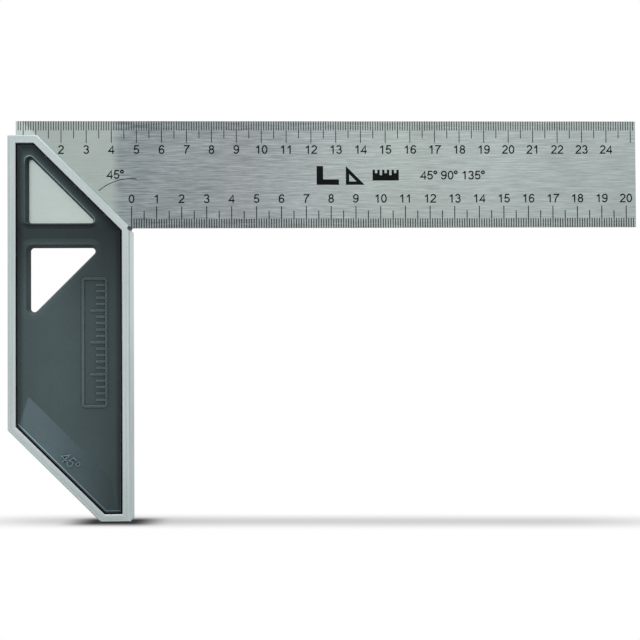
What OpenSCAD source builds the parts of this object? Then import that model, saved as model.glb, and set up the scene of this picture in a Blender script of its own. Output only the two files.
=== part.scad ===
// Try and mitre square: a flat steel rule fixed at 90 degrees in a flat cast stock.
//
// X runs along the blade, Y is the thickness and Z is up. The origin is the inner
// corner of the square, where the inner face of the stock meets the lower edge of
// the blade, at mid-thickness. The stock hangs down from the blade, its top is cut
// at 45 degrees from the inner corner (the mitre face) and its heel has a 45 degree
// bevel. All sizes are in millimetres.

/* [Blade] */
// Length of the blade
blade_l = 250; // [150:5:400]
// Width of the blade
blade_w = 43; // [40:1:60]
// Thickness of the blade
blade_t = 1.2; // [0.8:0.1:2]
// Wall of the stock behind the end of the blade
end_wall = 2; // [1.5:0.5:3]

/* [Stock] */
// Width of the stock, from its outer face to its inner face
stock_w = 48; // [46:1:56]
// Thickness of the stock
stock_t = 12; // [11:0.5:16]
// Height of the stock below the blade
stock_low = 116.5; // [110:0.5:160]
// Height and width of the mitre face
mitre = 36.5; // [34:0.5:38]
// Height and width of the bevel at the heel
heel = 36.5; // [30:0.5:38]
// Width of the rim round the pockets
rim_w = 3.2; // [2.5:0.1:4]
// Thickness of the web between the two pockets
web_t = 5; // [4:0.5:6]
// Chamfer on the outer edges of the rim
edge_chamfer = 0.5; // [0.2:0.1:0.8]
// Chamfer on the inner edges of the rim
mouth_chamfer = 0.3; // [0.1:0.1:0.5]
// Corner radius of the stock's outline
corner_r = 0.5; // [0.2:0.1:1]
// Corner radius of the pockets
pocket_r = 0.8; // [0.7:0.1:1.5]
// Radius of the relief groove at the inner corner
relief_r = 0.9; // [0.8:0.1:1.8]

/* [Windows] */
// Distance from the outer face of the stock to both windows
window_side = 7.6; // [7:0.1:10]
// Distance from the mitre face to the upper window
window_band = 8.5; // [8:0.1:10]
// Height of the upper window's sill above the blade's lower edge
window_sill = 1.5; // [1:0.1:3]
// Width of the bridge between the windows
bridge_w = 9.1; // [8:0.1:12]
// Length of the lower window's two short sides
lower_leg = 29.2; // [20:0.1:31]
// Corner radius of the windows
window_r = 1.1; // [0.6:0.1:2]

/* [Panels] */
// Thickness of the moulded panels
panel_t = 1.5; // [1:0.1:2]
// Gap between a panel and the rim
panel_gap = 0.5; // [0.2:0.05:0.6]
// Width of the ramp beside the heel bevel
ramp_w = 11; // [6:0.5:14]
// Rise of the ramp at the edge of the panel
ramp_rise = 1.4; // [0.5:0.1:1.4]
// Thickness of the collars that line the windows
collar_t = 0.8; // [0.6:0.1:1]

/* [Rivets] */
// Diameter of the rivets' shanks
rivet_d = 2.2; // [1.8:0.1:2.4]
// Diameter of the rivets' countersunk heads
rivet_head_d = 3.4; // [3:0.1:3.5]
// Distance from the mitre face to the row of rivets
rivet_inset = 5.4; // [5.3:0.05:5.5]

/* [Hidden] */
$fn = 48;

// Extra length of a cutter, so that it passes right through
through = 20;
// Thickness of the slices that a hull joins
skin = 0.01;
// How far the mouth's cutter runs past both ends of the chamfer
over = 0.2;
// Room round a collar in the web's window, and at its end
collar_clearance = 0.05;
blade_left = -stock_w + end_wall;
seat_y = web_t / 2;
face_y = seat_y + panel_t;
// X + Z along the heel bevel
heel_sum = -stock_w - stock_low + heel;
// Heights of the rivets above the blade's lower edge
rivet_z = [4, 15.6, 27.2];

// The six corners of the stock's outline, as [x, z], moved inwards by an inset
function outline(inset) =
    let (left = -stock_w + inset,
         right = -inset,
         top = mitre - inset,
         bottom = -stock_low + inset,
         mitre_sum = -inset * sqrt(2),
         bevel_sum = heel_sum + inset * sqrt(2))
    [[right, mitre_sum - right],
     [mitre_sum - top, top],
     [left, top],
     [left, bevel_sum - left],
     [bevel_sum - bottom, bottom],
     [right, bottom]];

// The stock's outline, moved inwards by an inset, with rounded corners
module rounded_outline(inset, r) {
    offset(r = r)
        offset(delta = -r)
            polygon(outline(inset));
}

// A flat shape drawn in X and Z, made solid from y0 to y1
module slab(y0, y1) {
    translate([0, y1, 0])
        rotate([90, 0, 0])
            linear_extrude(y1 - y0)
                children();
}

// A triangle with rounded corners, made larger all round by grow
module round_triangle(points, grow) {
    offset(r = window_r + grow)
        offset(delta = -window_r)
            polygon(points);
}

// The upper window, behind which the blade passes
module upper_window(grow, y0, y1) {
    left = -stock_w + window_side;
    sum = -window_band * sqrt(2);
    slab(y0, y1)
        round_triangle([[left, window_sill], [sum - window_sill, window_sill],
                        [left, sum - left]], grow);
}

// The lower window, open right through
module lower_window(grow, y0, y1) {
    left = -stock_w + window_side;
    top = window_sill - bridge_w;
    slab(y0, y1)
        round_triangle([[left, top], [left + lower_leg, top], [left, top - lower_leg]], grow);
}

// Cuts the chamfer along one outer edge, on both faces of the stock
module outer_edge_cut(from, to) {
    run = to - from;
    middle = (from + to) / 2;
    side = edge_chamfer * sqrt(2);
    for (y = [-stock_t / 2, stock_t / 2])
        translate([middle[0], y, middle[1]])
            rotate([0, -atan2(run[1], run[0]), 0])
                rotate([45, 0, 0])
                    cube([norm(run) + through, side, side], center = true);
}

// One pocket on the +Y side, with a chamfered mouth
module pocket() {
    slab(seat_y, stock_t / 2 + through) rounded_outline(rim_w, pocket_r);
    hull()
        for (inset = [over, -mouth_chamfer - over])
            translate([0, stock_t / 2 - mouth_chamfer - inset, 0])
                slab(0, skin) polygon(outline(rim_w + inset));
}

// A rivet with its two countersunk heads flush with the web
module rivet(z) {
    depth = (rivet_head_d - rivet_d) / 2;
    translate([-rivet_inset * sqrt(2) - z, 0, z])
        rotate([90, 0, 0])
            rotate_extrude()
                polygon([[0, -seat_y], [rivet_head_d / 2, -seat_y],
                         [rivet_d / 2, -seat_y + depth], [rivet_d / 2, seat_y - depth],
                         [rivet_head_d / 2, seat_y], [0, seat_y]]);
}

module blade_slot() {
    translate([blade_left, -blade_t / 2, 0])
        cube([stock_w + through, blade_t, mitre + through]);
}

module relief_groove() {
    translate([0, 0, -relief_r / 2])
        rotate([90, 0, 0])
            cylinder(r = relief_r, h = stock_t + through, center = true);
}

// The section of a panel, swept along the heel bevel: flat, with the ramp at the bevel
module panel_sweep(corner) {
    reach = stock_w + stock_low + mitre;
    translate([corner[0], 0, corner[1]])
        rotate([0, 45, 0])
            translate([-reach, 0, 0])
                rotate([90, 0, 90])
                    linear_extrude(2 * reach)
                        polygon([[seat_y, -1], [face_y + ramp_rise, -1],
                                 [face_y + ramp_rise, 0], [face_y, ramp_w],
                                 [face_y, reach], [seat_y, reach]]);
}

// A moulded panel on the +Y side, with collars that plug into the web's windows
module panel() {
    inset = rim_w + panel_gap;
    difference() {
        union() {
            intersection() {
                slab(seat_y - 1, stock_t / 2) rounded_outline(inset, pocket_r - panel_gap);
                panel_sweep(outline(inset)[3]);
            }
            upper_window(collar_t, blade_t / 2 + collar_clearance, seat_y + panel_t / 2);
            lower_window(collar_t, collar_clearance, seat_y + panel_t / 2);
        }
        upper_window(0, 0, stock_t);
        lower_window(0, -1, stock_t);
    }
}

module blade() {
    color([0.64, 0.67, 0.66])
        difference() {
            translate([blade_left, -blade_t / 2, 0])
                cube([blade_l, blade_t, blade_w]);
            for (z = rivet_z) rivet(z);
        }
}

module stock_frame() {
    corners = outline(0);
    count = len(corners);
    color([0.71, 0.76, 0.76])
        difference() {
            slab(-stock_t / 2, stock_t / 2) rounded_outline(0, corner_r);
            for (i = [0 : count - 1])
                outer_edge_cut(corners[i], corners[(i + 1) % count]);
            pocket();
            mirror([0, 1, 0]) pocket();
            upper_window(collar_t + collar_clearance, -stock_t, stock_t);
            lower_window(collar_t + collar_clearance, -stock_t, stock_t);
            blade_slot();
            relief_groove();
            for (z = rivet_z) rivet(z);
        }
}

module front_panel() {
    color([0.27, 0.32, 0.33]) mirror([0, 1, 0]) panel();
}

module rear_panel() {
    color([0.27, 0.32, 0.33]) panel();
}

module rivet_upper() {
    color("silver") rivet(rivet_z[2]);
}

module rivet_middle() {
    color("silver") rivet(rivet_z[1]);
}

module rivet_lower() {
    color("silver") rivet(rivet_z[0]);
}

blade();
stock_frame();
front_panel();
rear_panel();
rivet_upper();
rivet_middle();
rivet_lower();
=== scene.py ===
"""Looks of the try and mitre square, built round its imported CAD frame.

Lengths in this file are millimetres, and turn into metres where Blender gets them.
Flat work is drawn in the X-Z plane as (x, z) points. A side is -1 for the front of the
square and +1 for its back.
"""
import math

import bmesh
import bpy
from mathutils import Matrix, Vector
from mathutils.geometry import delaunay_2d_cdt


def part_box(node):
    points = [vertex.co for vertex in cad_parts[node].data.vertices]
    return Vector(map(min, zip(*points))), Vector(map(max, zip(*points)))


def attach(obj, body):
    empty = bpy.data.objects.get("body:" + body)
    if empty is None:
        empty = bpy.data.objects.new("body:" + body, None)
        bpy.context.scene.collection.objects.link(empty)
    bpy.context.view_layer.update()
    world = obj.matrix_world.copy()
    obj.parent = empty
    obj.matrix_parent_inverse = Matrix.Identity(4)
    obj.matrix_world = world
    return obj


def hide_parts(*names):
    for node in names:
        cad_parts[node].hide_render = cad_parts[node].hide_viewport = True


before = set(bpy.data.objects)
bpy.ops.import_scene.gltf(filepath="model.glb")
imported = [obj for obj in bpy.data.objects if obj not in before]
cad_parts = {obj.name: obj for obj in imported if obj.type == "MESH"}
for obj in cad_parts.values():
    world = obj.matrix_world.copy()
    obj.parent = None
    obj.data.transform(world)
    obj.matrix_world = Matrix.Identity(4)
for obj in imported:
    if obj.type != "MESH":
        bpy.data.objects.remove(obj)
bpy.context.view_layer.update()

MM = 0.001
ROOT = "root"
FRONT, BACK = -1, 1


def box_mm(node):
    """The lowest and highest corner of a CAD node, in millimetres."""
    low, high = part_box(node)
    return low / MM, high / MM


# ---------------------------------------------------------------- sizes from the frame
blade_low, blade_high = box_mm("blade")
stock_low, stock_high = box_mm("stock_frame")
panel_high = box_mm("rear_panel")[1]

# Heights above the middle plane: the blade's face, the web, the panel's face, and its edge
BLADE_Y = blade_high.y
WEB_Y = 2.5
FACE_Y = 4.0
EDGE_Y = panel_high.y
# The mitre face and the heel's bevel have the same height and width
MITRE = stock_high.z
# How far in from the stock's outline the CAD panel starts, and the gap between it and the rim
PANEL_INSET = stock_high.x - panel_high.x
PANEL_GAP = 0.5
RIM = PANEL_INSET - PANEL_GAP
# How much wider that gap is round the moulded panel
MORE_GAP = 0.1
# Radius of the CAD's relief groove at the inner corner
GROOVE_R = 0.9

# ---------------------------------------------------------------- sizes of the panels
# Both windows where they are narrowest: the square corner, the short sides, the corners' radius
UPPER_CORNER = (-40.6, 2.05)
UPPER_LEG = 26.7
UPPER_R = 0.9
LOWER_CORNER = (-40.03, -7.88)
LOWER_LEG = 27.45
LOWER_R = 1.35
# Slope of the window walls, thickness of the collars, and the gap at their ends
DRAFT = 0.25
COLLAR = 0.85
COLLAR_GAP = 0.05
PANEL_R = 0.3
LIP_WIDTH = 1.0
LIP_SLOPE = 0.35
# The mesh attribute that holds how far a point is outside the nearer window, in millimetres
WINDOW_GAP = "window_gap"

RAMP_WIDTH = 11.0
RAMP_RISE = 1.2
COVE_WIDTH = 4.0
COVE_RISE = EDGE_Y - FACE_Y
COVE_POWER = 2.2
# How soft the crease is where the ramp meets the cove
SOFTNESS = 0.02
EDGE_ROUND = 0.2


# ================================================================ flat geometry
SMALLEST_R = 0.02
# Points closer than this to a line are taken to be on it
ON_LINE = 1e-5


def inset(corners, distance):
    """A convex outline, anticlockwise, with every edge moved inwards."""
    result = []
    count = len(corners)
    for i, here in enumerate(corners):
        before = (here - corners[i - 1]).normalized()
        after = (corners[(i + 1) % count] - here).normalized()
        n_before = Vector((-before.y, before.x))
        n_after = Vector((-after.y, after.x))
        shift = (n_before + n_after) / (1 + n_before.dot(n_after))
        result.append(here + shift * distance)
    return result


def fillet(corners, radius, steps=6):
    """A convex outline, anticlockwise, with rounded corners. A tiny radius leaves it sharp."""
    if radius < SMALLEST_R:
        return list(corners)
    result = []
    count = len(corners)
    for i, centre in enumerate(inset(corners, radius)):
        before = corners[i] - corners[i - 1]
        after = corners[(i + 1) % count] - corners[i]
        start = math.atan2(-before.x, before.y)
        turn = (math.atan2(-after.x, after.y) - start) % math.tau
        for k in range(steps + 1):
            a = start + turn * k / steps
            result.append(centre + radius * Vector((math.cos(a), math.sin(a))))
    return result


def resample(loop, spacing):
    """A closed loop with points added so that no edge is longer than spacing."""
    result = []
    for i, here in enumerate(loop):
        there = loop[(i + 1) % len(loop)]
        pieces = max(1, math.ceil((there - here).length / spacing))
        result += [here.lerp(there, k / pieces) for k in range(pieces)]
    return result


def edge_distance(point, corners):
    """How far inside a convex outline a point is. Negative outside."""
    best = math.inf
    for i, here in enumerate(corners):
        along = (here - corners[i - 1]).normalized()
        best = min(best, along.cross(point - here))
    return best


def inside(point, loop):
    """True if a closed loop winds round a point. The loop may cross itself."""
    turns = 0
    for i, b in enumerate(loop):
        a = loop[i - 1]
        if (a.y > point.y) != (b.y > point.y):
            if point.x < (b.x - a.x) * (point.y - a.y) / (b.y - a.y) + a.x:
                turns += 1 if b.y > a.y else -1
    return turns != 0


def to_path(point, path):
    """Distance from a point to an open or closed line of points."""
    best = math.inf
    for a, b in zip(path, path[1:]):
        run = b - a
        t = max(0.0, min(1.0, (point - a).dot(run) / max(run.length_squared, 1e-12)))
        best = min(best, (point - a - run * t).length)
    return best


def triangulate(loops, keep, extra=()):
    """Triangles inside closed loops, through loose points too, where keep(centre) is true."""
    points, edges = [], []
    for loop in loops:
        first, count = len(points), len(loop)
        points += loop
        edges += [(first + k, first + (k + 1) % count) for k in range(count)]
    points += extra
    inside_only = 1
    flat, _, faces, *_ = delaunay_2d_cdt(points, edges, [], inside_only, ON_LINE)
    kept = [f for f in faces if keep(sum((flat[i] for i in f), Vector((0, 0))) / len(f))]
    return flat, kept


def line(*points):
    """An open line through (x, z) points."""
    return [Vector(p) for p in points]


def right_triangle(corner, leg, up):
    """Anticlockwise corners of a triangle that runs right and up, or right and down."""
    x, z = corner
    if up:
        return line((x, z), (x + leg, z), (x, z + leg))
    return line((x, z), (x, z - leg), (x + leg, z))


# The outlines of the stock and of a moulded panel. Edge k runs from corner k to the next one
STOCK = line((stock_high.x, 0), (-MITRE, MITRE), (stock_low.x, MITRE),
             (stock_low.x, stock_low.z + MITRE), (stock_low.x + MITRE, stock_low.z),
             (stock_high.x, stock_low.z))
PANEL = inset(STOCK, PANEL_INSET + MORE_GAP)
MITRE_EDGE = 0
HEEL_EDGE = 3
SIDES = (2, 5)
LOWER_EDGES = (3, 4)
UPPER_AND_SIDES = (0, 1, 2, 5)

# Each window: its narrowest outline, the corner radius and height there, and its lip's rise
WINDOWS = ((right_triangle(UPPER_CORNER, UPPER_LEG, True), UPPER_R, BLADE_Y + COLLAR_GAP, 0.20),
           (right_triangle(LOWER_CORNER, LOWER_LEG, False), LOWER_R, COLLAR_GAP, 0.10))


# ================================================================ meshes
# Points closer than this are one, in metres
WELD = 1e-7
# The turn between two faces that makes a sharp edge
SHARP = math.radians(30)


def new_piece(name, mesh, finish):
    """Puts a mesh in the scene as a piece that rides on the one body."""
    piece = bpy.data.objects.new(name, mesh)
    bpy.context.scene.collection.objects.link(piece)
    mesh.materials.append(finish)
    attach(piece, ROOT)
    return piece


class Shell:
    """Collects faces from points in millimetres, then welds them into one mesh."""

    def __init__(self):
        self.points = []
        self.faces = []

    def add(self, points, faces):
        first = len(self.points)
        self.points += [Vector(p) * MM for p in points]
        self.faces += [[first + i for i in face] for face in faces]

    def sheet(self, flat, faces, height):
        """A sheet over flat triangles, where height(point) is its Y."""
        self.add([(p.x, height(p), p.y) for p in flat], faces)

    def wall(self, loop, start, end):
        """A wall round a closed loop, from height start(point) to end(point)."""
        self.funnel(loop, start, loop, end)

    def funnel(self, loop, start, other, end):
        """A sloping wall between two closed loops with the same number of points."""
        count = len(loop)
        points = [(p.x, start(p), p.y) for p in loop] + [(p.x, end(p), p.y) for p in other]
        faces = []
        for i in range(count):
            j = (i + 1) % count
            faces.append((i, j, count + j, count + i))
        self.add(points, faces)

    def mesh(self, name):
        """The welded mesh, with its faces turned outwards and smooth up to a sharp edge."""
        mesh = bpy.data.meshes.new(name)
        bm = bmesh.new()
        verts = [bm.verts.new(p) for p in self.points]
        for face in self.faces:
            bm.faces.new([verts[i] for i in face])
        bmesh.ops.remove_doubles(bm, verts=bm.verts, dist=WELD)
        loose = [v for v in bm.verts if not v.link_faces]
        bmesh.ops.delete(bm, geom=loose, context="VERTS")
        bmesh.ops.recalc_face_normals(bm, faces=bm.faces)
        for face in bm.faces:
            face.smooth = True
        for edge in bm.edges:
            edge.smooth = len(edge.link_faces) == 2 and edge.calc_face_angle(0) < SHARP
        bm.to_mesh(mesh)
        bm.free()
        return mesh


# ================================================================ materials
def material(name):
    """A new material: (material, its principled shader, a function to add nodes, its links)."""
    mat = bpy.data.materials.new(name)
    mat.use_nodes = True
    nodes, links = mat.node_tree.nodes, mat.node_tree.links
    shader = nodes["Principled BSDF"]

    def add(kind, inputs=None, **settings):
        node = nodes.new(kind)
        for key, value in settings.items():
            setattr(node, key, value)
        for key, value in (inputs or {}).items():
            if isinstance(value, bpy.types.NodeSocket):
                links.new(value, node.inputs[key])
            else:
                node.inputs[key].default_value = value
        return node

    return mat, shader, add, links


def grain(add, scale, detail, stretch=(1, 1, 1), rough=0.55):
    """Noise in the object's own coordinates, stretched along its axes."""
    place = add("ShaderNodeTexCoord")
    mapped = add("ShaderNodeMapping", {"Vector": place.outputs["Object"], "Scale": stretch})
    noise = add("ShaderNodeTexNoise", {"Vector": mapped.outputs[0], "Scale": scale,
                                       "Detail": detail, "Roughness": rough})
    return noise.outputs[0]


def ramp(add, value, stops):
    """A colour ramp over (position, colour) stops."""
    node = add("ShaderNodeValToRGB", {"Fac": value})
    band = node.color_ramp
    while len(band.elements) < len(stops):
        band.elements.new(0.5)
    for element, (position, colour) in zip(band.elements, stops):
        element.position = position
        element.color = (*colour, 1)
    return node.outputs["Color"]


def remap(add, value, low, high, to_low, to_high):
    """A value that goes from to_low to to_high as another goes from low to high, and no further."""
    return add("ShaderNodeMapRange", {"Value": value, "From Min": low, "From Max": high,
                                      "To Min": to_low, "To Max": to_high}).outputs[0]


def fade(add, length, start, end, before=0.0, after=1.0):
    """The same for a length in metres, between a start and an end in millimetres."""
    return remap(add, length, start * MM, end * MM, before, after)


def tones(add, length, stops):
    """Plain tones along a length in metres, from (millimetres, tone) stops."""
    low, high = stops[0][0], stops[-1][0]
    top = max(tone for _, tone in stops)
    shades = ramp(add, fade(add, length, low, high),
                  [((at - low) / (high - low), [tone / top] * 3) for at, tone in stops])
    return mixed(add, 1.0, shades, (top, top, top, 1), "MULTIPLY")


def mixed(add, factor, a, b, blend="MIX"):
    """Two colours mixed."""
    node = add("ShaderNodeMix", data_type="RGBA", blend_type=blend)
    for key, value in (("Factor", factor), ("A", a), ("B", b)):
        socket = [s for s in node.inputs if s.name == key and s.enabled][0]
        if isinstance(value, bpy.types.NodeSocket):
            node.id_data.links.new(value, socket)
        else:
            socket.default_value = value
    return [s for s in node.outputs if s.enabled][0]


def bumped(add, shader, links, height, strength, distance):
    """Gives a shader a bump of a small height, in millimetres."""
    bump = add("ShaderNodeBump", {"Height": height, "Strength": strength,
                                  "Distance": distance * MM})
    links.new(bump.outputs[0], shader.inputs["Normal"])


def depth_inside(add, place, outline, edges=range(6)):
    """How far inside some edges of an outline in the X-Z plane a surface is, in metres."""
    depth = None
    for k in edges:
        here = outline[k]
        run = (outline[(k + 1) % len(outline)] - here).normalized()
        level = add("ShaderNodeVectorMath", {0: place, 1: (-run.y, 0, run.x)},
                    operation="DOT_PRODUCT").outputs["Value"]
        start = run.cross(here) * MM
        inwards = add("ShaderNodeMath", {0: level, 1: start}, operation="SUBTRACT").outputs[0]
        if depth is not None:
            inwards = add("ShaderNodeMath", {0: depth, 1: inwards}, operation="MINIMUM").outputs[0]
        depth = inwards
    return depth


def edge_wear(add, radius, paler):
    """A tone that is 1 on flats and rises towards paler along the edges of a mesh, as wear and as a
    painted highlight.
    """
    rounded = add("ShaderNodeBevel", {"Radius": radius * MM}, samples=4).outputs[0]
    flat = add("ShaderNodeNewGeometry").outputs["Normal"]
    match = add("ShaderNodeVectorMath", {0: rounded, 1: flat}, operation="DOT_PRODUCT")
    return remap(add, match.outputs["Value"], 0.90, 1.0, paler, 1.0)


def hollow_grime(add, reach, low, high, darkest):
    """Painted shade: a tone that is 1 in the open and falls to darkest in hollows, within a reach."""
    open_sky = add("ShaderNodeAmbientOcclusion", {"Distance": reach * MM}, samples=8).outputs["AO"]
    return remap(add, open_sky, low, high, darkest, 1.0)


def steel_material():
    """Stainless steel brushed along the blade and smooth where the stock holds it, with painted light
    and shade along its length and a painted lighter tone where the stock holds it.
    """
    mat, shader, add, links = material("brushed_steel")
    place = add("ShaderNodeTexCoord")
    across, _, up = add("ShaderNodeSeparateXYZ", {0: place.outputs["Object"]}).outputs
    past_mitre = add("ShaderNodeMath", {0: across, 1: up}, operation="ADD").outputs[0]

    # Painted light and shade, in tones from the blade's end in the stock, at 0, to its free end, at 1
    span = fade(add, across, blade_low.x, blade_high.x)
    tone = ramp(add, span, [(0.00, (0.54, 0.61, 0.58)), (0.152, (0.54, 0.61, 0.57)),
                            (0.166, (0.36, 0.41, 0.42)), (0.36, (0.43, 0.46, 0.47)),
                            (0.60, (0.56, 0.63, 0.60)), (1.00, (0.56, 0.63, 0.61))])

    streaks = grain(add, 80, 5, (1.0, 1.0, 24.0), 0.75)
    fine = grain(add, 230, 4, (0.5, 1.0, 14.0), 0.75)
    clouds = grain(add, 22, 2, (1.0, 1.0, 1.0))
    marks = mixed(add, 1.0, remap(add, streaks, 0.38, 0.62, 0.72, 1.30),
                  remap(add, fine, 0.38, 0.62, 0.80, 1.22), "MULTIPLY")
    brushed = tones(add, across, [(-8.0, 0.18), (-4.5, 1.0), (41.5, 0.85), (104.0, 0.60)])
    brushed = mixed(add, 1.0, brushed, fade(add, past_mitre, -1, 0, 0.3, 1.0), "MULTIPLY")

    colour = mixed(add, 1.0, tone, mixed(add, brushed, (1, 1, 1, 1), marks), "MULTIPLY")
    # Random clouds, and painted light that makes the blade lighter where the stock holds it
    for mask in (remap(add, clouds, 0.3, 0.7, 0.94, 1.06), fade(add, past_mitre, -1, 0, 1.4, 1.0)):
        colour = mixed(add, 1.0, colour, mask, "MULTIPLY")
    links.new(colour, shader.inputs["Base Color"])
    shader.inputs["Metallic"].default_value = 1.0
    links.new(remap(add, fine, 0.3, 0.7, 0.32, 0.46), shader.inputs["Roughness"])
    bumped(add, shader, links, fine, 0.3, 0.02)
    return mat


def aluminium_material():
    """Satin cast aluminium, ground along its edges, with painted light and shade. Inside the rim its
    pocket is made black, as painted shade in the gap round the panel.
    """
    mat, shader, add, links = material("cast_aluminium")
    place = add("ShaderNodeTexCoord").outputs["Object"]
    x, y, z = add("ShaderNodeSeparateXYZ", {0: place}).outputs
    depth = depth_inside(add, place, STOCK)

    # Ground lines: noise that changes fast across the rim and slowly along it
    across = add("ShaderNodeMath", {0: depth, 1: y}, operation="ADD").outputs[0]
    lengthwise = add("ShaderNodeCombineXYZ", {0: across, 1: x, 2: z}).outputs[0]
    stretched = add("ShaderNodeMapping", {"Vector": lengthwise, "Scale": (1500, 15, 15)})
    ground = add("ShaderNodeTexNoise", {"Vector": stretched.outputs[0], "Scale": 1.0,
                                        "Detail": 1.5, "Roughness": 0.6}).outputs[0]
    sand = grain(add, 2200, 3)
    clouds = grain(add, 45, 3)

    # Painted highlights along the mitre face and beside the pocket, and painted shade in the groove
    from_mitre = depth_inside(add, place, STOCK, (MITRE_EDGE,))
    painted_light = tones(add, from_mitre, [(0.40, 1.15), (0.65, 1.0)])
    mouth = tones(add, depth, [(2.56, 1.0), (2.78, 1.2), (3.14, 1.2)])
    flat_place = add("ShaderNodeCombineXYZ", {0: x, 2: z}).outputs[0]
    groove = add("ShaderNodeVectorMath", {0: flat_place, 1: (0, 0, -GROOVE_R / 2 * MM)},
                 operation="DISTANCE").outputs["Value"]

    colour = ramp(add, clouds, [(0.25, (0.78, 0.88, 0.87)), (0.75, (0.85, 0.95, 0.94))])
    for mask in (remap(add, sand, 0.3, 0.7, 0.94, 1.05),
                 remap(add, ground, 0.3, 0.7, 0.87, 1.12),
                 # painted shade, darker towards the top
                 fade(add, z, stock_low.z, stock_high.z, 1.08, 0.91),
                 painted_light,
                 mouth,
                 # edges paler, as wear and as a painted highlight
                 edge_wear(add, 0.35, 1.12),
                 fade(add, groove, GROOVE_R + 0.02, GROOVE_R + 0.12, 0.05, 1.0),
                 # painted shade in hollows
                 hollow_grime(add, 1.2, 0.35, 0.9, 0.12)):
        colour = mixed(add, 1.0, colour, mask, "MULTIPLY")

    # Painted shade: inside the rim the pocket's walls are black, so the gap round the panel reads
    # dark
    pocket_shade = fade(add, depth, RIM - 0.05, RIM + 0.05)
    colour = mixed(add, pocket_shade, colour, (0.006, 0.008, 0.008, 1))
    links.new(colour, shader.inputs["Base Color"])
    links.new(remap(add, pocket_shade, 0, 1, 1, 0), shader.inputs["Metallic"])
    links.new(remap(add, ground, 0.3, 0.7, 0.38, 0.50), shader.inputs["Roughness"])
    bumped(add, shader, links, sand, 0.2, 0.02)
    return mat


def ramp_tone(add, place, x):
    """Painted light: the ramp beside the heel is paler, most at its left end."""
    from_heel = depth_inside(add, place, PANEL, (HEEL_EDGE,))
    from_sides = depth_inside(add, place, PANEL, SIDES)
    cove_ends = fade(add, from_heel, 0, RAMP_WIDTH, 0.3 * MM, COVE_WIDTH * MM)
    clear = add("ShaderNodeMath", {0: from_sides, 1: cove_ends}, operation="SUBTRACT").outputs[0]
    past_cove = fade(add, clear, -0.3, 0.3)
    before_crease = fade(add, from_heel, RAMP_WIDTH - 0.3, RAMP_WIDTH + 0.2, 1, 0)
    on_ramp = add("ShaderNodeMath", {0: past_cove, 1: before_crease}, operation="MULTIPLY").outputs[0]
    # Painted light in half tones, doubled at the end, because a ramp's colours stop at 1
    painted_light = ramp(add, fade(add, x, -42, -8), [(0.0, (0.79, 0.80, 0.84)), (1.0, (0.40, 0.41, 0.43))])
    ramp_light = mixed(add, on_ramp, (0.5, 0.5, 0.5, 1), painted_light)
    return mixed(add, 1.0, ramp_light, (2, 2, 2, 1), "MULTIPLY")


def window_tone(add, x, z):
    """The lines of light and shade that follow the lips of the two windows."""
    gap = add("ShaderNodeAttribute", attribute_name=WINDOW_GAP).outputs["Fac"]
    gap = add("ShaderNodeMath", {0: gap, 1: MM}, operation="MULTIPLY").outputs[0]
    faint = tones(add, gap, [(-0.36, 0.85), (0.04, 1.3), (0.44, 1.3), (0.68, 0.95), (0.92, 1.2),
                             (1.56, 1.3), (2.12, 1.0)])
    strong = tones(add, gap, [(-0.36, 0.85), (-0.04, 1.2), (0.08, 4.0), (0.36, 4.0), (0.48, 1.2),
                              (1.40, 1.15), (2.20, 1.0)])
    sill = tones(add, gap, [(0.0, 0.04), (0.40, 0.10), (0.56, 0.55), (1.48, 0.60), (1.72, 1.0)])
    head = tones(add, gap, [(-0.12, 0.6), (0.08, 0.6), (0.24, 1.6), (0.80, 1.5), (2.20, 1.4),
                            (2.68, 1.0)])
    plain = tones(add, gap, [(-0.12, 0.75), (0.20, 1.0), (0.44, 1.1), (1.80, 1.1), (2.40, 1.0)])

    # Going up: round the lower window, above it, below the upper window, and round that. The
    # upper window's lines are faint on its left and strong on its slope
    diagonal = add("ShaderNodeMath", {0: x, 1: z}, operation="ADD").outputs[0]
    tone = mixed(add, fade(add, z, -7.0, -6.6), plain, head)
    tone = mixed(add, fade(add, z, -3.2, -2.8), tone, sill)
    upper = mixed(add, fade(add, diagonal, -17, -12.5), faint, strong)
    return mixed(add, fade(add, z, 1.4, 2.0), tone, upper)


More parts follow.
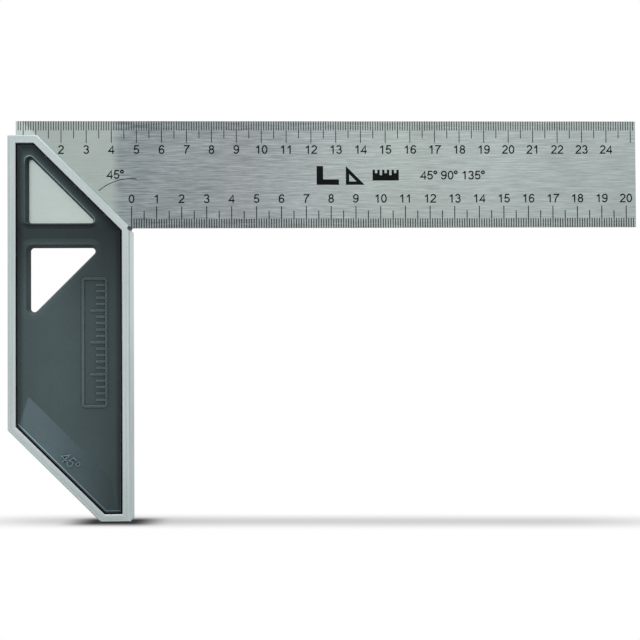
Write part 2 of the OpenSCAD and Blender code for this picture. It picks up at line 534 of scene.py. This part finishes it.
def plastic_material():
    """Dark blue-grey moulded plastic with a fine spark texture, and painted light and shade:
    highlights on its raised edges and lips, shade in its hollows and towards its edges.
    """
    mat, shader, add, links = material("moulded_plastic")
    place = add("ShaderNodeTexCoord").outputs["Object"]
    x, _, z = add("ShaderNodeSeparateXYZ", {0: place}).outputs
    spark = grain(add, 1800, 4, rough=0.7)
    clouds = grain(add, 60, 2)

    # Painted shade towards the edges and up the panel, with a painted highlight along the panel's
    # foot
    from_border = depth_inside(add, place, PANEL, UPPER_AND_SIDES)
    border = tones(add, from_border, [(0.0, 0.35), (0.5, 0.48), (1.2, 0.62), (1.8, 0.78),
                                      (2.5, 0.92), (9.0, 1.0)])
    upper = tones(add, z, [(-34.0, 1.0), (-4.1, 0.44), (-0.1, 0.44), (4.7, 0.62)])
    from_foot = depth_inside(add, place, PANEL, LOWER_EDGES)
    foot_line = tones(add, from_foot, [(0.20, 0.35), (0.50, 0.5), (0.60, 3.8), (0.76, 3.8),
                                       (0.88, 1.0)])

    colour = ramp(add, clouds, [(0.3, (0.106, 0.152, 0.158)), (0.7, (0.117, 0.167, 0.172))])
    for mask in (remap(add, spark, 0.3, 0.7, 0.88, 1.10),
                 border,
                 upper,
                 # painted shade towards the right
                 fade(add, x, -30, -7, 1.0, 0.70),
                 ramp_tone(add, place, x),
                 foot_line,
                 window_tone(add, x, z),
                 # painted shade in hollows
                 hollow_grime(add, 0.7, 0.50, 0.97, 0.05),
                 # painted highlights on raised edges
                 edge_wear(add, 0.30, 4.5)):
        colour = mixed(add, 1.0, colour, mask, "MULTIPLY")
    links.new(colour, shader.inputs["Base Color"])
    links.new(remap(add, spark, 0.3, 0.7, 0.42, 0.56), shader.inputs["Roughness"])
    shader.inputs["Specular IOR Level"].default_value = 0.25
    bumped(add, shader, links, spark, 0.3, 0.02)
    return mat


def ink_material():
    """Black filling of the etched marks, slightly uneven."""
    mat, shader, add, links = material("black_marks")
    speckle = grain(add, 1500, 3)
    colour = ramp(add, speckle, [(0.3, (0.004, 0.005, 0.005)), (0.7, (0.012, 0.015, 0.015))])
    links.new(colour, shader.inputs["Base Color"])
    links.new(remap(add, speckle, 0.3, 0.7, 0.7, 0.9), shader.inputs["Roughness"])
    shader.inputs["Specular IOR Level"].default_value = 0.15
    return mat


def rivet_material():
    """Bright turned steel."""
    mat, shader, add, links = material("bright_steel")
    turned = grain(add, 700, 3, (1.0, 6.0, 1.0))
    colour = ramp(add, turned, [(0.3, (0.50, 0.50, 0.50)), (0.7, (0.62, 0.62, 0.62))])
    links.new(colour, shader.inputs["Base Color"])
    shader.inputs["Metallic"].default_value = 1.0
    links.new(remap(add, turned, 0.3, 0.7, 0.25, 0.4), shader.inputs["Roughness"])
    return mat


STEEL = steel_material()
ALUMINIUM = aluminium_material()
PLASTIC = plastic_material()
INK = ink_material()
BRIGHT = rivet_material()


def dress(node, mat):
    """Gives a CAD node its finish, without touching its mesh."""
    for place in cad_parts[node].material_slots:
        place.link = "OBJECT"
        place.material = mat


dress("blade", STEEL)
dress("stock_frame", ALUMINIUM)
for rivet in ("rivet_upper", "rivet_middle", "rivet_lower"):
    dress(rivet, BRIGHT)


# ================================================================ strokes and numbers
def arc(cx, cy, rx, ry, start, end, steps=14):
    """Points along an ellipse, from one angle to another, in degrees."""
    result = []
    for k in range(steps + 1):
        a = math.radians(start + (end - start) * k / steps)
        result.append(Vector((cx + rx * math.cos(a), cy + ry * math.sin(a))))
    return result


# Centre lines of the figures, one unit high with the stroke's width allowed for.
# Each figure has its width and its strokes. A stroke that ends where it began is closed.
# The letter o stands for the raised ring of a degree sign.
STROKE = 0.15
SHARPEST_TURN = 0.35
GLYPHS = {
    "0": (0.77, [arc(0.385, 0.5, 0.262, 0.44, 90, 450, 28)]),
    "1": (0.77, [line((0.46, 0.00), (0.46, 0.98)), line((0.44, 0.90), (0.33, 0.79), (0.17, 0.715))]),
    "2": (0.77, [arc(0.38, 0.70, 0.255, 0.24, 172, -40, 18)
                 + line((0.22, 0.22), (0.11, 0.06), (0.70, 0.06))]),
    "3": (0.77, [arc(0.365, 0.72, 0.235, 0.22, 165, -85, 16),
                 arc(0.375, 0.285, 0.265, 0.23, 95, -165, 18)]),
    "4": (0.77, [line((0.55, 0.00), (0.55, 0.90), (0.09, 0.275), (0.72, 0.275))]),
    "5": (0.77, [line((0.66, 0.94), (0.23, 0.94), (0.15, 0.50))
                 + arc(0.375, 0.32, 0.265, 0.26, 130, -162, 20)]),
    "6": (0.77, [arc(0.39, 0.31, 0.26, 0.25, 180, 540, 26),
                 arc(0.44, 0.50, 0.31, 0.44, 184, 40, 14)]),
    "7": (0.77, [line((0.07, 0.94), (0.69, 0.94)) + arc(0.85, 0.00, 0.57, 0.88, 118, 180, 10)]),
    "8": (0.77, [arc(0.385, 0.735, 0.215, 0.205, 90, 450, 24),
                 arc(0.385, 0.295, 0.255, 0.235, 90, 450, 26)]),
    "9": (0.77, [arc(0.38, 0.69, 0.26, 0.25, 0, 360, 26),
                 arc(0.33, 0.50, 0.31, 0.44, 4, -140, 14)]),
    "o": (0.50, [arc(0.22, 0.82, 0.155, 0.155, 90, 450, 16)]),
    " ": (0.34, []),
}


def written(text, height, centre, turn=0.0, flip=1):
    """The strokes of a line of figures, in millimetres, centred on a point.

    flip is -1 for figures that are read from behind.
    """
    width = sum(GLYPHS[c][0] for c in text)
    pen = -width / 2
    rotation = Matrix.Rotation(turn, 2)
    strokes = []
    for c in text:
        advance, paths = GLYPHS[c]
        for path in paths:
            moved = [Vector(((pen + p.x) * flip, p.y - 0.5)) * height for p in path]
            strokes.append([rotation @ p + Vector(centre) for p in moved])
        pen += advance
    return strokes


def ribbon(path, width):
    """The outline of a stroke of even width, as one loop, or two if the stroke is closed.

    At a sharp turn the outer corner is cut short.
    """
    closed = (path[0] - path[-1]).length < ON_LINE
    points = path[:-1] if closed else path
    count = len(points)
    left, right = [], []
    for i, p in enumerate(points):
        before = points[i - 1] if closed or i > 0 else None
        after = points[(i + 1) % count] if closed or i < count - 1 else None
        a = (p - before).normalized() if before else (after - p).normalized()
        b = (after - p).normalized() if after else a
        na, nb = Vector((-a.y, a.x)), Vector((-b.y, b.x))
        shift = (na + nb) / max(1 + na.dot(nb), SHARPEST_TURN) * width / 2
        left.append(p + shift)
        right.append(p - shift)
    if closed:
        return [left, right]
    return [left + right[::-1]]


def round_ribbon(path, width, steps=6):
    """The outline of a stroke with round ends."""
    loops = ribbon(path, width)
    if len(loops) == 2:
        return loops
    count = len(path)
    sides = (loops[0][:count], loops[0][count:])
    result = []
    for side_points, end in zip(sides, (path[-1], path[0])):
        result += side_points
        out = side_points[-1] - end
        result += [end + Matrix.Rotation(-math.pi * k / steps, 2) @ out for k in range(1, steps)]
    return [result]


def stroke_faces(strokes, width):
    """Flat triangles that fill a set of strokes."""
    ribbons = [ribbon(path, width) for path in strokes]

    def in_ribbon(point, loops):
        return inside(point, loops[0]) != (len(loops) == 2 and inside(point, loops[1]))

    return triangulate([loop for loops in ribbons for loop in loops],
                       lambda centre: any(in_ribbon(centre, loops) for loops in ribbons))


def boundary(faces):
    """The directed edges that only one of the triangles has."""
    count = {}
    for face in faces:
        for k, a in enumerate(face):
            b = face[(k + 1) % len(face)]
            count[a, b] = count.get((a, b), 0) + 1
    return [(a, b) for a, b in count if (b, a) not in count]


def add_slab(shell, flat, faces, low, high):
    """A closed flat slab over triangles, between two heights."""
    shell.sheet(flat, faces, lambda p: low)
    shell.sheet(flat, faces, lambda p: high)
    rim = boundary(faces)
    points = [(p.x, y, p.y) for y in (low, high) for p in flat]
    count = len(flat)
    shell.add(points, [(a, b, count + b, count + a) for a, b in rim])


# ================================================================ marks on the blade
MARK_PROUD = 0.02
MARK_SUNK = 0.01
DIGIT_HEIGHT = 3.45
TEXT_HEIGHT = 3.5
# Widths of the lines of the two scales, and how far they stay from the blade's edges
UPPER_LINE, LOWER_LINE = 0.30, 0.36
LINE_INSET = 0.02
# Heights of the middles of the two rows of numbers
UPPER_DIGITS_Z = 31.6
LOWER_DIGITS_Z = 11.8
# Lengths of the lines at every centimetre, every half centimetre and every millimetre
CM, HALF_CM = 10, 5
CM_TICK, HALF_CM_TICK, MM_TICK = 8.7, 6.9, 3.7
FIRST_NUMBER = 2
# The least length of blade beyond the first and last line
MARGIN = 0.5


def mark_heights(side):
    """From just under the blade's face to just above it."""
    return side * (BLADE_Y - MARK_SUNK), side * (BLADE_Y + MARK_PROUD)


def tick_length(k):
    if k % CM == 0:
        return CM_TICK
    return HALF_CM_TICK if k % HALF_CM == 0 else MM_TICK


def add_line(shell, start, end, width, side):
    """A straight mark from one point to another."""
    start, end = Vector(start), Vector(end)
    across = (end - start).normalized().orthogonal() * width / 2
    flat = [start - across, end - across, end + across, start + across]
    add_slab(shell, flat, [(0, 1, 2, 3)], *mark_heights(side))


def add_scale(shell, zero, first, last, z_edge, direction, width, side):
    """One millimetre scale. zero is the X of its zero line, direction its ticks' way in Z."""
    for k in range(first, last + 1):
        x = zero + k
        end = z_edge + direction * tick_length(k)
        add_line(shell, (x, z_edge), (x, end), width, side)


def add_numbers(shell, zero, values, z, side):
    """The centimetre numbers of one scale."""
    for value in values:
        strokes = written(str(value), DIGIT_HEIGHT, (zero + value * CM, z), flip=-side)
        flat, faces = stroke_faces(strokes, STROKE * DIGIT_HEIGHT)
        add_slab(shell, flat, faces, *mark_heights(side))


def scale_marks(side, name):
    """Both scales of one face of the blade: the upper counts from the stock's outer face."""
    shell = Shell()
    outer, inner = stock_low.x, stock_high.x
    down, up = -1, 1
    first = math.ceil(blade_low.x - outer + MARGIN)
    upper_last = math.floor(blade_high.x - outer - MARGIN)
    lower_last = math.floor(blade_high.x - inner - MARGIN)
    add_scale(shell, outer, first, upper_last, blade_high.z - LINE_INSET, down, UPPER_LINE, side)
    add_scale(shell, inner, 0, lower_last, blade_low.z + LINE_INSET, up, LOWER_LINE, side)
    add_numbers(shell, outer, range(FIRST_NUMBER, upper_last // CM), UPPER_DIGITS_Z, side)
    add_numbers(shell, inner, range(0, lower_last // CM + 1), LOWER_DIGITS_Z, side)
    return new_piece(name, shell.mesh(name), INK)


# The arc is struck about the inner corner, between two angles in degrees
ARC_RADIUS = 19.9
ARC_ANGLES = (131, 84)
ARC_LINE = 0.3
ANGLE_TEXT = (-6.4, 21.6)


def angle_mark(side, name):
    """The 45 degree arc about the inner corner, with its figure."""
    shell = Shell()
    sweep = arc(0, 0, ARC_RADIUS, ARC_RADIUS, *ARC_ANGLES, 24)
    figure = written("45o", TEXT_HEIGHT, ANGLE_TEXT, flip=-side)
    for strokes, width in (([sweep], ARC_LINE), (figure, STROKE * TEXT_HEIGHT)):
        flat, faces = stroke_faces(strokes, width)
        add_slab(shell, flat, faces, *mark_heights(side))
    return new_piece(name, shell.mesh(name), INK)


# The three signs stand in a row between two heights, each from its own X
SIGN_LOW, SIGN_HIGH = 17.3, 24.9
SQUARE_X, TRIANGLE_X, RULE_X = 74.2, 86.0, 96.8
TRIANGLE_FRAME = 1.35
LONG_NOTCH, SHORT_NOTCH = 0.5, 0.32
ANGLES_TEXT = (129.3, 21.2)


def square_sign(x, z, width, height, leg):
    """An L, its upright a little wider than its foot is high."""
    return line((x, z), (x + width, z), (x + width, z + leg), (x + leg * 1.2, z + leg),
                (x + leg * 1.2, z + height), (x, z + height))


def rule_sign(x, z, width, height, notches):
    """A bar with notches along its upper edge, like a short rule."""
    pitch = width / (2 * notches + 1)
    points = [(x, z), (x + width, z), (x + width, z + height)]
    for k in range(notches):
        right = x + width - (2 * k + 1) * pitch
        depth = height * (LONG_NOTCH if k % 2 else SHORT_NOTCH)
        points += [(right, z + height), (right, z + height - depth),
                   (right - pitch, z + height - depth), (right - pitch, z + height)]
    return line(*points, (x, z + height))


def tool_signs(side, name):
    """Plain signs for a square, a mitre and a rule, and the angles the tool sets out."""
    shell = Shell()
    low, high = mark_heights(side)
    height = SIGN_HIGH - SIGN_LOW
    for shape in (square_sign(SQUARE_X, SIGN_LOW, 9.0, height, 2.2),
                  rule_sign(RULE_X, SIGN_LOW + 1.7, 10.6, 4.4, 5)):
        flat, faces = triangulate([shape], lambda c, s=shape: inside(c, s))
        add_slab(shell, flat, faces, low, high)
    mitre = right_triangle((TRIANGLE_X, SIGN_LOW), height, True)
    hole = inset(mitre, TRIANGLE_FRAME)
    flat, faces = triangulate([mitre, hole], lambda c: inside(c, mitre) and not inside(c, hole))
    add_slab(shell, flat, faces, low, high)
    strokes = written("45o 90o 135o", TEXT_HEIGHT, ANGLES_TEXT, flip=-side)
    flat, faces = stroke_faces(strokes, STROKE * TEXT_HEIGHT)
    add_slab(shell, flat, faces, low, high)
    return new_piece(name, shell.mesh(name), INK)


scale_marks(FRONT, "scale_marks_front")
scale_marks(BACK, "scale_marks_back")
angle_mark(FRONT, "angle_mark_front")
angle_mark(BACK, "angle_mark_back")
tool_signs(FRONT, "tool_signs_front")


# ================================================================ moulded panels
# The raised rule on the panel: a frame with long and short ribs in it, in a zone whose
# left, right, top and bottom are given
RIB_ZONE = (-19.3, -9.0, -19.8, -71.4)
RIB_COUNT = 20
LONG_RIB, SHORT_RIB = 0.62, 0.40
RIB_WIDTH = 1.1
RIB_RISE = 0.6
RIB_SLOPE = 0.24
# The raised 45 degree figure beside the heel, and a circle that it fits in
FIGURE_CENTRE = (-23.7, -92.4)
FIGURE_REACH = 7
FIGURE_HEIGHT = 4.1
FIGURE_WIDTH = 0.8
FIGURE_RISE = 0.5
# How much wider than a rib or a figure's stroke the mesh lines are that follow its slope
RIB_LINES = (0.30, 0.06, -0.02, -0.10, -0.18, -0.26, -0.34, -0.42, -0.50)
# How far in from the panel's edge the mesh lines of its cove are
COVE_LINES = (0, 0.05, 0.1, 0.15, 0.2, 0.32, 0.5, 0.75, 1.0, 1.3, 1.65, 2.0, 2.4, 2.8, 3.3, 3.8, 4.05)
COVE_STEP = 0.8


def smooth(t):
    """A soft step from 0 to 1."""
    t = max(0.0, min(1.0, t))
    return t * t * (3 - 2 * t)


def mouth_grow(window):
    """How much larger a window is at the panel's face than where it is narrowest."""
    return (FACE_Y + window[3] - window[2]) * DRAFT


def window_loop(window, grow):
    """A window's outline, made larger all round by grow."""
    corners, radius = window[:2]
    return fillet(inset(corners, -grow), radius + grow)


def rib_strokes():
    """Centre lines of the raised rule: its closed frame, then its ribs."""
    left, right, top, bottom = RIB_ZONE
    half = RIB_WIDTH / 2
    corners = line((left + half, bottom + half), (right - half, bottom + half),
                   (right - half, top - half), (left + half, top - half))
    frame_path = fillet(corners, 1.0, 4)
    strokes = [frame_path + frame_path[:1]]
    for k in range(1, RIB_COUNT):
        z = top - half - k * (top - bottom - RIB_WIDTH) / RIB_COUNT
        reach = (right - left) * (LONG_RIB if k % 5 == 0 else SHORT_RIB)
        strokes.append(line((right - reach, z), (right - half, z)))
    return strokes


def panel_angle_strokes(side):
    """The raised 45 degree figure, its foot along the heel bevel."""
    return written("45o", FIGURE_HEIGHT, FIGURE_CENTRE, turn=math.radians(-45), flip=-side)


class Relief:
    """The height of a panel's face above the middle plane, at any point."""

    def __init__(self, side):
        self.ribs = rib_strokes()
        self.figure = panel_angle_strokes(side)
        self.windows = [(window_loop(w, mouth_grow(w)), w[3]) for w in WINDOWS]

    def raised(self, p):
        """The rise of the raised rule and of the figure."""
        left, right, top, bottom = RIB_ZONE
        spare = 1
        if left - spare < p.x < right + spare and bottom - spare < p.y < top + spare:
            gap = min(to_path(p, r) for r in self.ribs)
            return RIB_RISE * smooth((RIB_WIDTH / 2 - gap) / RIB_SLOPE)
        if (p - Vector(FIGURE_CENTRE)).length < FIGURE_REACH:
            gap = min(to_path(p, r) for r in self.figure)
            return FIGURE_RISE * smooth((FIGURE_WIDTH / 2 - gap) / RIB_SLOPE)
        return 0.0

    def lip(self, p):
        """The rise of the window lips, with their rounded mouths."""
        gap, rise = min((to_path(p, w + w[:1]), lip) for w, lip in self.windows)
        if gap > LIP_WIDTH:
            return 0.0
        rise *= smooth((LIP_WIDTH - gap) / LIP_SLOPE)
        return rise - EDGE_ROUND * (1 - min(1.0, gap / EDGE_ROUND)) ** 2

    def window_gap(self, p):
        """How far a point is outside the mouth of the nearer window. Negative inside."""
        loops = [w for w, _ in self.windows]
        gap = min(to_path(p, w + w[:1]) for w in loops)
        return -gap if any(inside(p, w) for w in loops) else gap

    def __call__(self, p):
        d = edge_distance(p, PANEL)
        cove = COVE_RISE * max(0.0, 1 - max(d, 0) / COVE_WIDTH) ** COVE_POWER
        run = (p.x + p.y - PANEL[HEEL_EDGE].x - PANEL[HEEL_EDGE].y) / math.sqrt(2)
        slope = max(0.0, RAMP_RISE * (1 - run / RAMP_WIDTH))
        both = (cove + slope + math.sqrt((cove - slope) ** 2 + SOFTNESS ** 2) - SOFTNESS) / 2
        edge = EDGE_ROUND * (1 - min(1.0, max(d, 0) / EDGE_ROUND)) ** 2
        return FACE_Y + both - edge + self.lip(p) + self.raised(p)


def ramp_points():
    """Rows of loose points beside the soft crease of the ramp."""
    points = []
    row_gap, step, before, length = 0.2, 0.3, 10, 60
    along, up = Vector((1, -1)).normalized(), Vector((1, 1)).normalized()
    for row in range(-3, 4):
        run = RAMP_WIDTH + row * row_gap
        for k in range(int(length / step)):
            p = PANEL[HEEL_EDGE] + up * run + along * (k * step - before)
            if edge_distance(p, PANEL) > step:
                points.append(p)
    return points


def bridge_points():
    """Loose points along the middle of the bridge between the windows."""
    middle = (UPPER_CORNER[1] + LOWER_CORNER[1]) / 2
    return [Vector((x, middle)) for x in range(-39, -12)]


def panel_loops():
    """The lines that the panel's face follows: its edge with the cove, and the window lips."""
    loops = [resample(fillet(inset(PANEL, d), PANEL_R - d), COVE_STEP) for d in COVE_LINES]
    mouth_gaps = [0, 0.05, 0.1, 0.15, 0.2]
    slope_gaps = [LIP_WIDTH + k for k in (-0.36, -0.27, -0.18, -0.09, 0, 0.05)]
    windows = [[window_loop(w, mouth_grow(w) + g) for g in mouth_gaps + slope_gaps] for w in WINDOWS]
    return loops, windows


def panel_lines(relief, loops, windows):
    """The mesh lines and loose points of a panel's face.

    A cove line that crosses a window becomes loose points, so that no wall gets a stray corner.
    """
    lines, loose = [], ramp_points() + bridge_points()
    past_lip = LIP_WIDTH + 0.2
    for loop in loops:
        if all(relief.window_gap(p) > 0 for p in loop):
            lines.append(loop)
        else:
            loose += [p for p in loop if relief.window_gap(p) > past_lip]
    for rings in windows:
        lines += rings
    for paths, width in ((relief.ribs, RIB_WIDTH), (relief.figure, FIGURE_WIDTH)):
        for path in paths:
            for extra in RIB_LINES:
                lines += round_ribbon(path, width + extra)
    return lines, loose


def make_panel(side, name, node):
    """One moulded panel: a coved tray with a ramp, window lips, ribs and collars."""
    relief = Relief(side)
    loops, windows = panel_loops()
    edge = loops[0]
    mouths = [rings[0] for rings in windows]
    lines, loose = panel_lines(relief, loops, windows)

    def face(p):
        return side * relief(p)

    def seat(p):
        return side * WEB_Y

    def between(outer, holes):
        return lambda c: inside(c, outer) and not any(inside(c, hole) for hole in holes)

    shell = Shell()
    shell.sheet(*triangulate(lines, between(edge, mouths), loose), face)
    shell.wall(edge, face, seat)
    collars = []
    for window, mouth in zip(WINDOWS, mouths):
        throat = window_loop(window, 0)
        collar = window_loop(window, COLLAR)
        bottom = lambda p, end=window[2]: side * end
        shell.funnel(mouth, face, throat, bottom)
        shell.sheet(*triangulate([collar, throat], between(collar, [throat])), bottom)
        shell.wall(collar, bottom, seat)
        collars.append(collar)
    shell.sheet(*triangulate([edge] + collars, between(edge, collars)), seat)

    mesh = shell.mesh(name)
    gaps = mesh.attributes.new(WINDOW_GAP, "FLOAT", "POINT")
    for vertex, gap in zip(mesh.vertices, gaps.data):
        gap.value = relief.window_gap(vertex.co.xz / MM)
    piece = new_piece(name, mesh, PLASTIC)
    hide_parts(node)
    return piece


make_panel(FRONT, "front_inlay", "front_panel")
make_panel(BACK, "rear_inlay", "rear_panel")


# ================================================================ studio
FLOOR_Z = stock_low.z
FLOOR_RADIUS = 6000
# Angles in radians. The shadow on the floor is turned a little from the blade
SHADOW_TURN = 0.073
CAMERA_TURN = 0.0328
CAMERA_TILT = 0.0182
CAMERA_ROLL = -0.0059
CAMERA_PLACE = (60.9, -437.3, -45.1)
LENS, SENSOR = 61.16, 36
# Strengths of the parts of the studio
BASE_LIGHT = 0.28
FRONT_LIGHT = 0.61
ROOF_LIGHT = 0.40
SIDE_LIGHT = 0.28
BACK_LIGHT = 0.52


def floor_material():
    """White paper with the soft shadow of the square: a band, darkest round the foot."""
    mat, shader, add, links = material("white_floor")
    place = add("ShaderNodeTexCoord").outputs["Object"]

    def shade(axis, middle, full, end):
        """1 within a half width of a middle, falling to 0 at a larger one, in millimetres."""
        moved = add("ShaderNodeMath", {0: axis, 1: middle * MM}, operation="SUBTRACT").outputs[0]
        away = add("ShaderNodeMath", {0: moved}, operation="ABSOLUTE").outputs[0]
        fall = fade(add, away, full, end, 1, 0)
        fall.node.interpolation_type = "SMOOTHSTEP"
        return fall

    def shadow(across, depth, strength):
        """A soft box of shadow. Across and depth are each a middle and two half widths."""
        both = add("ShaderNodeMath", {0: shade(along, *across), 1: shade(out, *depth)},
                   operation="MULTIPLY").outputs[0]
        return remap(add, both, 0, 1, 1, 1 - strength)

    turned = add("ShaderNodeMapping", {"Vector": place, "Rotation": (0, 0, SHADOW_TURN)})
    along, out, _ = add("ShaderNodeSeparateXYZ", {0: turned.outputs[0]}).outputs
    band = shadow((78, 85, 172), (-2.8, 0, 21), 0.36)
    foot = shadow((-6, 7, 23), (-4.2, 3, 13), 0.93)
    tail = shadow((-14, 0, 60), (-3.0, 0, 18), 0.12)
    white = mixed(add, 1.0, mixed(add, 1.0, band, tail, "MULTIPLY"), foot, "MULTIPLY")
    seen = add("ShaderNodeEmission", {"Color": white, "Strength": 1.0})
    dull = add("ShaderNodeBsdfDiffuse", {"Color": (0.55, 0.55, 0.55, 1)})
    rays = add("ShaderNodeLightPath")
    mix = add("ShaderNodeMixShader", {0: rays.outputs["Is Camera Ray"], 1: dull.outputs[0],
                                      2: seen.outputs[0]})
    output = [n for n in mat.node_tree.nodes if n.type == "OUTPUT_MATERIAL"][0]
    links.new(mix.outputs[0], output.inputs["Surface"])
    return mat


def make_floor():
    """A pale floor under the foot. It isn't part of the object."""
    mesh = bpy.data.meshes.new("floor")
    bm = bmesh.new()
    bmesh.ops.create_circle(bm, cap_ends=True, segments=96, radius=FLOOR_RADIUS * MM)
    bm.to_mesh(mesh)
    bm.free()
    mesh.materials.append(floor_material())
    floor = bpy.data.objects.new("floor", mesh)
    floor.location = (0, 0, FLOOR_Z * MM)
    bpy.context.scene.collection.objects.link(floor)


def area_light(name, place, target, size, power):
    """A soft box at a place, facing a target."""
    data = bpy.data.lights.new(name, "AREA")
    data.shape = "RECTANGLE"
    data.size, data.size_y = size[0] * MM, size[1] * MM
    data.energy = power
    lamp = bpy.data.objects.new(name, data)
    lamp.location = Vector(place) * MM
    aim = (Vector(target) - Vector(place)).normalized()
    lamp.rotation_euler = aim.to_track_quat("-Z", "X" if abs(aim.z) > 0.9 else "Y").to_euler()
    bpy.context.scene.collection.objects.link(lamp)


def make_world():
    """White to the camera. To everything else a studio: soft front, bright roof and sides."""
    world = bpy.data.worlds.new("studio")
    world.use_nodes = True
    bpy.context.scene.world = world
    nodes, links = world.node_tree.nodes, world.node_tree.links
    nodes.clear()

    def math_node(operation, a, b):
        node = nodes.new("ShaderNodeMath")
        node.operation = operation
        for socket, value in zip(node.inputs, (a, b)):
            if isinstance(value, bpy.types.NodeSocket):
                links.new(value, socket)
            else:
                socket.default_value = value
        return node.outputs[0]

    def lobe(value, start, end, strength):
        """A soft step in strength as a direction's coordinate goes from start to end."""
        node = nodes.new("ShaderNodeMapRange")
        node.interpolation_type = "SMOOTHSTEP"
        node.inputs["From Min"].default_value = start
        node.inputs["From Max"].default_value = end
        node.inputs["To Max"].default_value = strength
        links.new(value, node.inputs["Value"])
        return node.outputs[0]

    place = nodes.new("ShaderNodeTexCoord")
    split = nodes.new("ShaderNodeSeparateXYZ")
    links.new(place.outputs["Generated"], split.inputs[0])
    across, depth, up = split.outputs
    back = lobe(depth, 0.1, 0.7, BACK_LIGHT)
    sides = lobe(math_node("ABSOLUTE", across, 0), 0.75, 0.95, SIDE_LIGHT)
    front = lobe(depth, -0.55, -1.0, FRONT_LIGHT)
    roof = lobe(up, 0.45, 0.85, ROOF_LIGHT)
    total = BASE_LIGHT
    for part in (front, sides, roof, back):
        total = math_node("ADD", part, total)
    studio = nodes.new("ShaderNodeBackground")
    studio.inputs["Color"].default_value = (0.97, 0.985, 1, 1)
    links.new(total, studio.inputs["Strength"])
    white = nodes.new("ShaderNodeBackground")
    white.inputs["Color"].default_value = (1, 1, 1, 1)
    rays = nodes.new("ShaderNodeLightPath")
    mix = nodes.new("ShaderNodeMixShader")
    links.new(rays.outputs["Is Camera Ray"], mix.inputs[0])
    links.new(studio.outputs[0], mix.inputs[1])
    links.new(white.outputs[0], mix.inputs[2])
    output = nodes.new("ShaderNodeOutputWorld")
    links.new(mix.outputs[0], output.inputs["Surface"])


def make_camera():
    """The camera looks at the front, almost square on, from a little right of the stock."""
    data = bpy.data.cameras.new("camera")
    data.sensor_width = SENSOR
    data.lens = LENS
    camera = bpy.data.objects.new("camera", data)
    camera.location = Vector(CAMERA_PLACE) * MM
    turn = Matrix.Rotation(-CAMERA_TURN, 3, "Z")
    tilt = Matrix.Rotation(math.pi / 2 + CAMERA_TILT, 3, "X")
    roll = Matrix.Rotation(CAMERA_ROLL, 3, "Z")
    camera.rotation_euler = (turn @ tilt @ roll).to_euler()
    bpy.context.scene.collection.objects.link(camera)
    bpy.context.scene.camera = camera


make_floor()
make_world()
make_camera()
area_light("high_key", (120, -300, 800), (20, 0, -40), (1100, 600), 1.4)
bpy.context.scene.view_settings.view_transform = "Standard"
